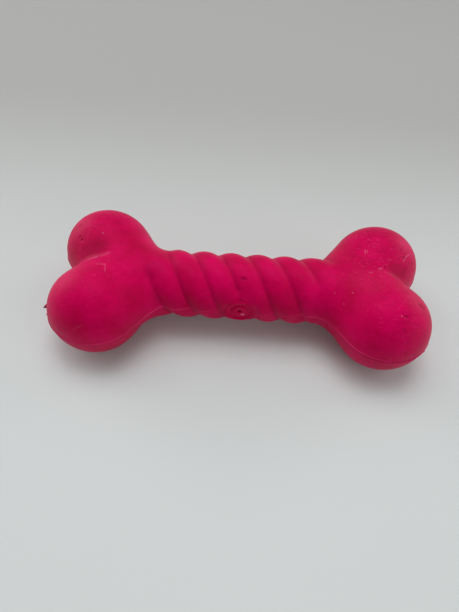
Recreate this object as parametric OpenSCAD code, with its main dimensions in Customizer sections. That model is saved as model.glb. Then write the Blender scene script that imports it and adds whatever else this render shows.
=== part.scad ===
// Squeaking rubber chew bone: two moulded halves bonded at mid-height, four knobs, a shaft twisted like
// a three-strand rope, and a reed squeaker held in a round hole in the front of the shaft.
// The origin is on the ground under the middle of the bone. X runs along the bone, and the squeaker
// faces -Y. Angles round the shaft start at the front and rise over the top.

/* [Bone] */
// Overall length over the knobs
bone_l = 150; // [130:1:200]
// Wall thickness of the rubber
wall = 4.6; // [3:0.1:5.5]

/* [Knobs] */
// Length of a knob along the bone
knob_l = 36.2; // [32:0.2:42]
// Width of a knob across the bone
knob_w = 33.6; // [32:0.2:40]
// Height of a knob
knob_h = 36.4; // [32:0.2:42]
// Distance between the centres of the two knobs at one end
knob_spread = 31.4; // [26:0.2:32]
// Width of the soft valley between the two knobs at one end
knob_blend = 1.8; // [1:0.2:8]

/* [Neck] */
// Length of the swelling that joins a pair of knobs to the shaft
neck_l = 24; // [18:0.2:30]
// Width of the swelling
neck_w = 30.2; // [26:0.2:36]
// Height of the swelling
neck_h = 26.8; // [24:0.2:30]
// How far the swelling's centre lies nearer the middle than the knobs' centres
neck_inset = 12; // [8:0.5:14]
// Softness of the step from the swelling to the shaft
neck_blend = 7.6; // [4:0.2:14]
// Softness of the crease between the swelling and a knob
crease_blend = 9.4; // [4:0.2:12]

/* [Twisted shaft] */
// Mean diameter of the shaft
shaft_d = 26.3; // [25:0.1:30]
// Number of ribs that wind round the shaft together
rib_starts = 3; // [2:1:4]
// Length of one full turn of a rib
rib_lead = 33.3; // [28:0.1:40]
// Depth of the grooves between the ribs
rib_depth = 1.7; // [0.5:0.1:2.6]
// Length of shaft over which the ribs are full
rib_full_l = 61; // [40:1:64]
// Length over which the ribs die away at each end
rib_fade_l = 7; // [5:0.5:12]
// How far the ribbed stretch is moved to the left in front, and as far to the right behind
rib_skew = 6.5; // [0:0.5:7]

/* [Squeaker] */
// Diameter of the squeaker's face
face_d = 11.6; // [11:0.1:13]
// Thickness of the face
face_t = 2; // [1.6:0.1:2.4]
// How far the face lies inside the shaft's mean radius
face_sink = 0.3; // [0:0.05:0.8]
// Width of the raised rim round the face
rim_w = 1; // [0.8:0.1:1.4]
// Diameter of the raised boss in the middle of the face
boss_d = 6.2; // [5:0.1:7.4]
// Depth of the ring-shaped recess between the rim and the boss
recess_t = 0.4; // [0.3:0.1:0.8]
// Diameter of the neck that the rubber grips
grip_d = 9.4; // [8.6:0.1:9.8]
// Diameter of the snap rim behind the lip
snap_d = 11; // [10.4:0.1:11.6]
// Thickness of the snap rim
snap_t = 1; // [0.8:0.1:1.4]
// Outer diameter of the sound tube
tube_d = 7.6; // [7:0.1:8.6]
// Length of the sound tube behind the snap rim
tube_l = 9; // [7:0.1:10]
// Diameter of the pocket that holds the reed
pocket_d = 5.4; // [4.6:0.1:5.6]
// Diameter of the air hole in the face
air_d = 1.4; // [1:0.1:2.4]

/* [Reed] */
// Width of the reed
reed_w = 3.8; // [3:0.1:4]
// Thickness of the reed
reed_t = 0.25; // [0.15:0.05:0.25]
// Length of the reed's root inside the clamp
reed_root_l = 1.2; // [0.8:0.1:1.2]
// Angle at which the reed stands open from its trough
reed_open = 2.5; // [1:0.5:3]
// Diameter of the air channel in the trough
channel_d = 2.6; // [1.6:0.1:2.8]
// Length of the wedge that pinches the reed's root
wedge_l = 2.4; // [1.8:0.1:3]
// Thickness of the closed end of the trough
trough_end_t = 0.8; // [0.5:0.1:1.4]
// Height of the slot that holds the reed's root
reed_slot = 0.45; // [0.45:0.05:0.6]

/* [Fit] */
// Gap round the squeaker where it sits in the rubber, and round the parts in its pocket
fit_gap = 0.05; // [0.02:0.01:0.1]

/* [Hidden] */
rubber_colour = "#B8003C";
plastic_colour = "#B01040";
reed_colour = "#E8E4D8";
$fn = 64;

// The seam's height, and the half sizes that the form is worked out from
seam_z = knob_h / 2;
shaft_r = shaft_d / 2;
knob_x = (bone_l - knob_l) / 2;
neck_x = knob_x - neck_inset;
rib_pitch = rib_lead / rib_starts;
rib_mean_share = 2 / PI;

// The skin's rings: a fixed number to each rib, then the neck, then a fan of rings round each end
rings_per_rib = 6;
neck_rings = 7;
cap_rings = 13;
arc_steps = 30;
root_steps = 12;
fan_inset_share = 0.16;
slant_share = 0.4;
fan_x = knob_x - fan_inset_share * knob_l;
slant_x = fan_x - slant_share * rib_lead;
ring_step = rib_pitch / rings_per_rib;
shaft_rings = floor(slant_x / ring_step);
side_rings = shaft_rings + neck_rings + cap_rings;
reach = knob_spread + knob_l;
halvings = 15;

// Depths along the squeaker's axis, measured as distances from the shaft's axis
face_out = shaft_r - face_sink;
face_back = face_out - face_t;
lip_back = shaft_r - wall;
snap_back = lip_back - snap_t;
tube_end = snap_back - tube_l;
pocket_top = face_back;
wedge_end = pocket_top - wedge_l;
overrun = 1;

function clamp01(v) = min(max(v, 0), 1);
function smooth(v) = let (t = clamp01(v)) t * t * (3 - 2 * t);

// Soft union of two distances: k is how far the blend reaches
function soft_min(a, b, k) =
    let (h = clamp01(0.5 + (b - a) / (2 * k)))
    b + (a - b) * h - k * h * (1 - h);

// Distance to an ellipsoid with half sizes a, b and c, close enough near its surface
function egg(x, y, z, a, b, c) =
    let (u = norm([x / a, y / b, z / c]), v = norm([x / (a * a), y / (b * b), z / (c * c)]))
    v > 0 ? u * (u - 1) / v : -min(a, b, c);

// How strongly the ribs show at x and angle phi, from 1 on the shaft to 0 at the knobs
function rib_strength(x, phi) =
    1 - smooth((abs(x + rib_skew * cos(phi)) - rib_full_l / 2) / rib_fade_l);

// Rib height above or below the mean shaft at angle phi: round crests and sharp grooves
function rib_height(x, phi) =
    rib_depth * rib_strength(x, phi)
        * (abs(cos(180 * (x + rib_lead * (phi - 90) / 360) / rib_pitch)) - rib_mean_share);

// Distance to the skin of the bone without its ribs, taken from the seam plane
function bone_distance(x, y, z) =
    let (ax = abs(x), ay = abs(y), c = knob_spread / 2,
         near_knob = egg(ax - knob_x, ay - c, z, knob_l / 2, knob_w / 2, knob_h / 2),
         far_knob = egg(ax - knob_x, ay + c, z, knob_l / 2, knob_w / 2, knob_h / 2),
         neck = egg(ax - neck_x, ay, z, neck_l / 2, neck_w / 2, neck_h / 2),
         shaft = norm([max(ax - fan_x, 0), y, z]) - shaft_r)
    soft_min(soft_min(near_knob, far_knob, knob_blend), soft_min(neck, shaft, neck_blend), crease_blend);

// How far the skin, less the given depth, lies from the start of a ray, by halving the stretch that holds it
function ray_length(o, d, depth, lo, hi, n) =
    let (m = (lo + hi) / 2, p = o + m * d)
    n == 0 ? m
    : bone_distance(p[0], p[1], p[2]) > -depth ? ray_length(o, d, depth, lo, m, n - 1)
    : ray_length(o, d, depth, m, hi, n - 1);

// Place of ring j along the bone, from -side_rings to side_rings: [its x over the top, its tilt
// towards the end, how much it leans with the ribs]
function ring_place(j) =
    let (k = abs(j), s = sign(j))
    k <= shaft_rings ? [s * k * ring_step, 0, 1]
    : k <= shaft_rings + neck_rings
        ? let (t = (k - shaft_rings) / neck_rings)
          [s * (shaft_rings * ring_step * (1 - t) + fan_x * t), 0, 1 - t]
    : [s * fan_x, s * 90 * (k - shaft_rings - neck_rings) / cap_rings, 0];

// Point of the skin on ring j at angle t up from the seam, on the upper (side 1) or lower half (side -1)
function skin_point(j, t, side, depth, ribs) =
    let (r = ring_place(j), phi = side * t,
         x = r[0] - side * r[2] * rib_lead * (t - 90) / 360,
         d = [sin(r[1]), -cos(r[1]) * cos(phi), cos(r[1]) * sin(phi)],
         l = ray_length([x, 0, 0], d, depth, 0, reach, halvings),
         rib = ribs ? rib_height(x, phi) * cos(r[1]) : 0)
    [x, 0, 0] + (l + rib) * d;

// Rings of points between the two ends of the bone, then the two end points
function skin(rings, steps, side, depth, ribs) = concat(
    [for (j = rings) for (i = [0:steps]) skin_point(j, 180 * i / steps, side, depth, ribs)],
    [skin_point(-side_rings, 0, side, depth, false), skin_point(side_rings, 0, side, depth, false)]);

// Triangles of a skin of count rings, which starts at point number base
function skin_faces(count, steps, base) =
    let (w = steps + 1, left = base + count * w, right = left + 1)
    concat(
        [for (j = [0:count - 2]) for (i = [0:steps - 1]) for (f = [
            [base + j * w + i, base + (j + 1) * w + i + 1, base + (j + 1) * w + i],
            [base + j * w + i, base + j * w + i + 1, base + (j + 1) * w + i + 1]]) f],
        [for (i = [0:steps - 1]) [left, base + i + 1, base + i]],
        [for (i = [0:steps - 1]) let (e = base + (count - 1) * w + i) [right, e, e + 1]]);

// The numbers of the points along one edge of a skin, from end point to end point
function edge_points(count, steps, base, i) = concat(
    [base + count * (steps + 1)], [for (j = [0:count - 1]) base + j * (steps + 1) + i],
    [base + count * (steps + 1) + 1]);

// Triangles of the flat seam face between an outer edge and an inner edge with half as many steps
function seam_faces(outer, inner) =
    [for (k = [0:len(inner) - 2]) for (f = [
        [outer[2 * k], outer[2 * k + 1], inner[k]],
        [outer[2 * k + 1], inner[k + 1], inner[k]],
        [outer[2 * k + 1], outer[2 * k + 2], inner[k + 1]]]) f];

function reversed(faces) = [for (f = faces) [f[2], f[1], f[0]]];

// One hollow half of the bone, its seam face on the seam plane
module half_shell(side) {
    outer_rings = [for (j = [1 - side_rings:side_rings - 1]) j];
    inner_rings = [for (j = [2 - side_rings:2:side_rings - 2]) j];
    outer_n = len(outer_rings);
    inner_n = len(inner_rings);
    inner_base = outer_n * (arc_steps + 1) + 2;
    points = concat(
        skin(outer_rings, arc_steps, side, 0, true),
        skin(inner_rings, root_steps, side, wall, false));
    front = seam_faces(
        edge_points(outer_n, arc_steps, 0, 0), edge_points(inner_n, root_steps, inner_base, 0));
    back = seam_faces(
        edge_points(outer_n, arc_steps, 0, arc_steps),
        edge_points(inner_n, root_steps, inner_base, root_steps));
    faces = concat(
        skin_faces(outer_n, arc_steps, 0),
        reversed(skin_faces(inner_n, root_steps, inner_base)),
        front, reversed(back));
    translate([0, 0, seam_z])
        polyhedron(points, side > 0 ? faces : reversed(faces));
}

// Puts a piece drawn along +Z on the squeaker's axis, with +Z facing out of the bone
module on_squeaker_axis() {
    translate([0, 0, seam_z]) rotate([90, 0, 0]) children();
}

// A disc between two distances from the shaft's axis
module disc(d, from, to) {
    translate([0, 0, from]) cylinder(d = d, h = to - from);
}

// The stepped hole that the squeaker snaps into
module squeaker_seat() {
    disc(face_d + 2 * fit_gap, face_back - fit_gap, shaft_r + rib_depth + overrun);
    disc(grip_d + 2 * fit_gap, lip_back, face_back);
    disc(snap_d + 2 * fit_gap, 0, lip_back + fit_gap);
}

module upper_shell() {
    color(rubber_colour) difference() {
        half_shell(1);
        on_squeaker_axis() squeaker_seat();
    }
}

module lower_shell() {
    color(rubber_colour) difference() {
        half_shell(-1);
        on_squeaker_axis() squeaker_seat();
    }
}

module squeaker_body() {
    color(plastic_colour) on_squeaker_axis() difference() {
        union() {
            disc(face_d, face_back, face_out);
            disc(grip_d, lip_back, face_back);
            disc(snap_d, snap_back, lip_back);
            disc(tube_d, tube_end, snap_back);
        }
        disc(pocket_d, tube_end - overrun, pocket_top);
        disc(air_d, tube_end, face_out + overrun);
        difference() {
            disc(face_d - 2 * rim_w, face_out - recess_t, face_out + overrun);
            disc(boss_d, face_out - recess_t - overrun, face_out + 2 * overrun);
        }
    }
}

// Half of the pocket's inside between two distances from the shaft's axis, below the given height
module pocket_half(from, to, height) {
    intersection() {
        disc(pocket_d - 2 * fit_gap, from, to);
        translate([-pocket_d, height - pocket_d, from - overrun])
            cube([2 * pocket_d, pocket_d, to - from + 2 * overrun]);
    }
}

module reed_trough() {
    color(plastic_colour) on_squeaker_axis() difference() {
        pocket_half(tube_end, pocket_top - fit_gap, -reed_slot / 2);
        disc(channel_d, tube_end + trough_end_t, pocket_top + overrun);
    }
}

module reed_wedge() {
    color(plastic_colour) on_squeaker_axis()
        rotate([0, 0, 180]) pocket_half(wedge_end, pocket_top - fit_gap, -reed_slot / 2);
}

module reed() {
    color(reed_colour) on_squeaker_axis()
        translate([0, 0, wedge_end]) rotate([reed_open, 0, 0])
            translate([-reed_w / 2, -reed_t / 2, tube_end - wedge_end])
                cube([reed_w, reed_t, wedge_end - tube_end + reed_root_l]);
}

upper_shell();
lower_shell();
squeaker_body();
reed_trough();
reed();
reed_wedge();
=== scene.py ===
"""The looks of a squeaking rubber chew bone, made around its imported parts.

Two moulded halves of pink natural rubber meet at a seam at mid-height. Each is one closed shell whose skin
follows the same rule as the solid: four eggs, two necks and a shaft run softly together, with three ribs
wound round the shaft. A thin line of flash stands along the seam, and a turned polyethylene squeaker sits in
a round hole in the front of the shaft. Lengths are in metres unless a docstring says otherwise, Z is up, X
runs along the bone and the squeaker faces -Y.
"""

import logging
import math
from dataclasses import dataclass, field
from enum import Enum

import bmesh
import bpy
import numpy as np
from mathutils import Matrix, Vector


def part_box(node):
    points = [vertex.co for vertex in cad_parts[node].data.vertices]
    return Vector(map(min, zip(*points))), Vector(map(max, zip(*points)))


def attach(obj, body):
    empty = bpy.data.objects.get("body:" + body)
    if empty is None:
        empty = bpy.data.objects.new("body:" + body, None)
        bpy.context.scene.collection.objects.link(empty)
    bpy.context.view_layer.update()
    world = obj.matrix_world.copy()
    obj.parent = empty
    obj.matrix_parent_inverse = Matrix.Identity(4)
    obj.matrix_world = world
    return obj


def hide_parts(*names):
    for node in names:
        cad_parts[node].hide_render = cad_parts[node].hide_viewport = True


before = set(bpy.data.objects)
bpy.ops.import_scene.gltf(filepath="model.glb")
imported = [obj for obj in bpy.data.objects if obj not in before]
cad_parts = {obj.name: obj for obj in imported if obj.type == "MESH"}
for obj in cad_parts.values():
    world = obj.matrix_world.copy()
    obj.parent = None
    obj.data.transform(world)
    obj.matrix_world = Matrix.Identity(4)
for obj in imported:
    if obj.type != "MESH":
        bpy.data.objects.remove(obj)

LOG = logging.getLogger("chew_bone")
MM = 0.001
# Points that are nearer to each other than this are one point.
WELD = 0.001 * MM
# The share of a turn round the bone from its front to its top, where the ribs are counted from.
TOP_TURN = 0.25
# The levels between which nearly all of a noise lies.
GRAIN_RANGE = (0.3, 0.7)

# Names that node trees know: kinds of socket and node, and the attributes that the rubber's mesh carries.
FLOAT, WHOLE, VECTOR = "NodeSocketFloat", "NodeSocketInt", "NodeSocketVector"
GEOMETRY, MATERIAL = "NodeSocketGeometry", "NodeSocketMaterial"
MATH, VECTOR_MATH, GROUP = "ShaderNodeMath", "ShaderNodeVectorMath", "GeometryNodeGroup"
RAY_LENGTH, SCUFF, GROOVE_SHADE = "ray_length", "scuff", "groove"

Tree, Socket = bpy.types.NodeTree, bpy.types.NodeSocket
# What can feed a node's input or setting: another node's output, a piece of Blender's data, or a value.
Feed = Socket | bpy.types.ID | Vector | float | int | bool | str | tuple | None
# What a tree's inputs give, by name.
Given = dict[str, Socket]


class Half(Enum):
    """The two moulded halves of the bone, by the side of the seam on which they lie."""

    UPPER = 1
    LOWER = -1

    @property
    def node(self) -> str:
        """The name of the half's CAD node."""
        return "upper_shell" if self is Half.UPPER else "lower_shell"


class Body(Enum):
    """The bodies that the pieces made here ride on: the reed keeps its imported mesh, on its own body."""

    BONE = "bone"


class Slot(Enum):
    """Names of the record's material slots for the pieces made here."""

    RUBBER = "natural_rubber"
    PLASTIC = "squeaker_plastic"


def linear(hex_colour: str) -> tuple[float, float, float, float]:
    """Turns an sRGB colour into the linear one that shaders take.

    Args:
        hex_colour: The colour as #RRGGBB.

    Returns:
        Red, green and blue from 0 to 1, and an alpha of 1.
    """
    parts = [int(hex_colour[i:i + 2], 16) / 255 for i in (1, 3, 5)]
    red, green, blue = (p / 12.92 if p <= 0.04045 else ((p + 0.055) / 1.055) ** 2.4 for p in parts)
    return red, green, blue, 1.0


def add(
    tree: Tree, kind: str, feeds: tuple[Feed, ...] | dict[str, Feed] = (), **settings: Feed
) -> Socket | None:
    """Adds a node with its settings and links.

    Args:
        tree: The tree that gets the node.
        kind: The node's type name.
        feeds: What feeds its inputs, a socket or a value each: in order, or by the input's name.
        settings: Values of the node's own properties.

    Returns:
        The node's first output in use, or None if it has none.
    """
    node = tree.nodes.new(kind)
    for name, value in settings.items():
        setattr(node, name, value)
    usable = [s for s in node.inputs if s.enabled]
    pairs = feeds.items() if isinstance(feeds, dict) else enumerate(feeds)
    for key, value in pairs:
        socket = usable[key] if isinstance(key, int) else next(s for s in usable if s.name == key)
        if isinstance(value, Socket):
            tree.links.new(value, socket)
        elif value is not None:
            socket.default_value = value
    return next((s for s in node.outputs if s.enabled), None)


def new_tree(
    name: str, inputs: dict[str, str], outputs: dict[str, str], kind: str = "GeometryNodeTree"
) -> tuple[Tree, Given]:
    """Makes an empty node tree with named inputs and outputs.

    Args:
        name: The tree's name.
        inputs: Socket types by input name.
        outputs: Socket types by output name.
        kind: The type name of the tree.

    Returns:
        The tree, and what its inputs give, by name.
    """
    tree = bpy.data.node_groups.new(name, kind)
    for way, sockets in (("INPUT", inputs), ("OUTPUT", outputs)):
        for label, socket_kind in sockets.items():
            tree.interface.new_socket(name=label, in_out=way, socket_type=socket_kind)
    source = tree.nodes.new("NodeGroupInput")
    return tree, {s.name: s for s in source.outputs if s.name}


def shared(given: Given, group: Tree, **others: Feed) -> dict[str, Feed]:
    """The feeds of a group inside a tree: the tree's own inputs of the same names, and some others.

    Args:
        given: What the tree's inputs give, by name.
        group: The tree of the group that is fed.
        others: Feeds by input name, with _ for a space.

    Returns:
        Feeds by input name.
    """
    wanted = {i.name for i in group.interface.items_tree if i.in_out == "INPUT"}
    own = {name.replace("_", " "): value for name, value in others.items()}
    return {name: socket for name, socket in given.items() if name in wanted} | own


def grown(tree: Tree, name: str, values: dict[str, Feed]) -> bpy.types.Mesh:
    """Evaluates a geometry tree with given values and keeps the result as a plain mesh.

    Args:
        tree: The tree, which starts from nothing.
        name: The mesh's name.
        values: The tree's inputs by name.

    Returns:
        The mesh, with the tree's material.
    """
    carrier = bpy.data.objects.new(name + ".carrier", bpy.data.meshes.new(name + ".carrier"))
    bpy.context.scene.collection.objects.link(carrier)
    modifier = carrier.modifiers.new("tree", "NODES")
    modifier.node_group = tree
    sockets = {i.name: i.identifier for i in tree.interface.items_tree if i.in_out == "INPUT"}
    for label, identifier in sockets.items():
        modifier[identifier] = values[label]
    mesh = evaluated(carrier, name)
    bpy.data.objects.remove(carrier)
    return mesh


def evaluated(piece: bpy.types.Object, name: str) -> bpy.types.Mesh:
    """Makes a plain mesh of an object as its modifiers leave it.

    Args:
        piece: The object.
        name: The mesh's name.

    Returns:
        The mesh.
    """
    graph = bpy.context.evaluated_depsgraph_get()
    graph.update()
    mesh = bpy.data.meshes.new_from_object(piece.evaluated_get(graph), depsgraph=graph)
    mesh.name = name
    return mesh


def placed(name: str, mesh: bpy.types.Mesh) -> bpy.types.Object:
    """Puts a mesh in the scene as an object at the origin.

    Args:
        name: The object's name.
        mesh: Its mesh, with its place in it.

    Returns:
        The object.
    """
    piece = bpy.data.objects.new(name, mesh)
    bpy.context.scene.collection.objects.link(piece)
    return piece


def keep(piece: bpy.types.Object, body: Body, slot: Slot, *nodes: str) -> None:
    """Ties a finished piece to its body, hides the nodes that it stands for, and reports it.

    Args:
        piece: The finished piece.
        body: The body that it rides on.
        slot: The material slot that its finish comes from; not used.
        nodes: The CAD nodes that it replaces.
    """
    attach(piece, body.value)
    if nodes:
        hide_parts(*nodes)
    LOG.info("%s: %d faces, on %s", piece.name, len(piece.data.polygons), body.value)


def points_of(mesh: bpy.types.Mesh, kind: str = "co") -> np.ndarray:
    """Reads the place or the normal of each point of a mesh.

    Args:
        mesh: The mesh.
        kind: "co" for places, or "normal".

    Returns:
        A row of three numbers for each point.
    """
    values = np.empty(len(mesh.vertices) * 3)
    mesh.vertices.foreach_get(kind, values)
    return values.reshape(-1, 3)


def move_points(mesh: bpy.types.Mesh, points: np.ndarray) -> None:
    """Puts the points of a mesh at new places."""
    mesh.vertices.foreach_set("co", points.ravel())
    mesh.update()


def write_amounts(mesh: bpy.types.Mesh, name: str, amounts: np.ndarray) -> None:
    """Writes an amount at each point of a mesh, as an attribute that its material reads."""
    attribute = mesh.attributes.new(name, "FLOAT", "POINT")
    attribute.data.foreach_set("value", amounts)


def turned(name: str, profile: list[tuple[float, float]], height: float, steps: int) -> bpy.types.Mesh:
    """Turns a closed profile about the squeaker's axis, which lies along Y.

    Args:
        name: The mesh's name.
        profile: Points as radius and distance from the shaft's axis, round the cut face.
        height: The axis's height.
        steps: Points round each ring.

    Returns:
        A closed mesh with its faces outward.
    """
    shape = bmesh.new()
    angles = [math.tau * i / steps for i in range(steps)]
    rings = [
        [shape.verts.new((radius * math.cos(a), -out, height + radius * math.sin(a))) for a in angles]
        for radius, out in profile
    ]
    for ring, following in zip(rings, rings[1:] + rings[:1]):
        for i in range(steps):
            j = (i + 1) % steps
            shape.faces.new((ring[i], ring[j], following[j], following[i]))
    bmesh.ops.remove_doubles(shape, verts=shape.verts, dist=WELD)
    bmesh.ops.recalc_face_normals(shape, faces=shape.faces)
    mesh = bpy.data.meshes.new(name)
    shape.to_mesh(mesh)
    shape.free()
    mesh.shade_smooth()
    return mesh


def looking_at(point: Vector, bearing: float, height: float, distance: float) -> Matrix:
    """Places a lamp or a camera that looks at a point.

    Args:
        point: The point that it looks at.
        bearing: The direction that it stands in, in degrees round from the front towards +X.
        height: How high it stands, in degrees above the level.
        distance: How far from the point it stands.

    Returns:
        Its place and turn.
    """
    around, up = math.radians(bearing), math.radians(height)
    way = Vector((math.sin(around) * math.cos(up), -math.cos(around) * math.cos(up), math.sin(up)))
    return Matrix.Translation(point + distance * way) @ way.to_track_quat("Z", "Y").to_matrix().to_4x4()


def rounded(corners: list[tuple[float, float]], radius: float, steps: int = 4) -> list[tuple[float, float]]:
    """Rounds every corner of a closed outline.

    Args:
        corners: The outline's corners in order.
        radius: How far from a corner its rounding starts, or a little under half of a short side.
        steps: Steps along each rounding.

    Returns:
        The points of the rounded outline.
    """
    longest_share = 0.45
    points = []
    for i, corner in enumerate(corners):
        here = Vector(corner)
        before, after = Vector(corners[i - 1]) - here, Vector(corners[(i + 1) % len(corners)]) - here
        reach = min(radius, longest_share * before.length, longest_share * after.length)
        start, end = here + reach * before.normalized(), here + reach * after.normalized()
        for k in range(steps + 1):
            t = k / steps
            points.append(tuple((1 - t) ** 2 * start + 2 * t * (1 - t) * here + t * t * end))
    return points


@dataclass(frozen=True)
class BoneForm:
    """The rule that the bone's skin follows, with its overall sizes taken from the frame."""

    length: float
    width: float
    height: float
    seam_z: float
    knob_length: float = 36.2 * MM
    knob_width: float = 33.6 * MM
    knob_blend: float = 1.8 * MM
    neck_length: float = 24 * MM
    neck_width: float = 30.2 * MM
    neck_height: float = 26.8 * MM
    neck_inset: float = 12 * MM
    neck_blend: float = 7.6 * MM
    crease_blend: float = 9.4 * MM
    shaft_diameter: float = 26.3 * MM
    wall: float = 4.6 * MM
    rib_starts: int = 3
    rib_lead: float = 33.3 * MM
    rib_depth: float = 1.7 * MM
    rib_full_length: float = 61 * MM
    rib_fade_length: float = 7 * MM
    rib_skew: float = 6.5 * MM
    groove_softness: float = 0.08
    fan_inset_share: float = 0.16
    slant_share: float = 0.4

    @classmethod
    def from_frame(cls) -> "BoneForm":
        """Reads the bone's overall sizes and the seam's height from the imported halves.

        Returns:
            The form.
        """
        low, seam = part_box(Half.LOWER.node)
        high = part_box(Half.UPPER.node)[1]
        return cls(length=high.x - low.x, width=high.y - low.y, height=high.z - low.z, seam_z=seam.z)

    @property
    def knob_centre(self) -> tuple[float, float, float]:
        """Centre of the knob at +X, +Y, taken from the seam's middle."""
        return (self.length - self.knob_length) / 2, (self.width - self.knob_width) / 2, 0.0

    @property
    def fan_x(self) -> float:
        """Where the rings across the bone end and the fans of rings round its ends begin."""
        return self.knob_centre[0] - self.fan_inset_share * self.knob_length

    @property
    def rib_pitch(self) -> float:
        """Distance along the shaft from one rib to the next."""
        return self.rib_lead / self.rib_starts

    def values(self) -> dict[str, Feed]:
        """Works out what the trees' inputs are for this form.

        Returns:
            Values by input name.
        """
        return {
            "Seam Height": self.seam_z,
            "Knob Centre": self.knob_centre,
            "Knob Half Size": (self.knob_length / 2, self.knob_width / 2, self.height / 2),
            "Neck Centre": (self.knob_centre[0] - self.neck_inset, 0.0, 0.0),
            "Neck Half Size": (self.neck_length / 2, self.neck_width / 2, self.neck_height / 2),
            "Shaft Radius": self.shaft_diameter / 2,
            "Shaft Reach": self.fan_x,
            "Knob Blend": self.knob_blend,
            "Neck Blend": self.neck_blend,
            "Crease Blend": self.crease_blend,
            "Rib Pitch": self.rib_pitch,
            "Rib Lead": self.rib_lead,
            "Rib Depth": self.rib_depth,
            "Rib Full Length": self.rib_full_length,
            "Rib Fade Length": self.rib_fade_length,
            "Rib Skew": self.rib_skew,
            "Groove Softness": self.groove_softness,
            "Slant Length": self.slant_share * self.rib_lead,
            "Search Reach": self.width + self.knob_length,
        }


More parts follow.
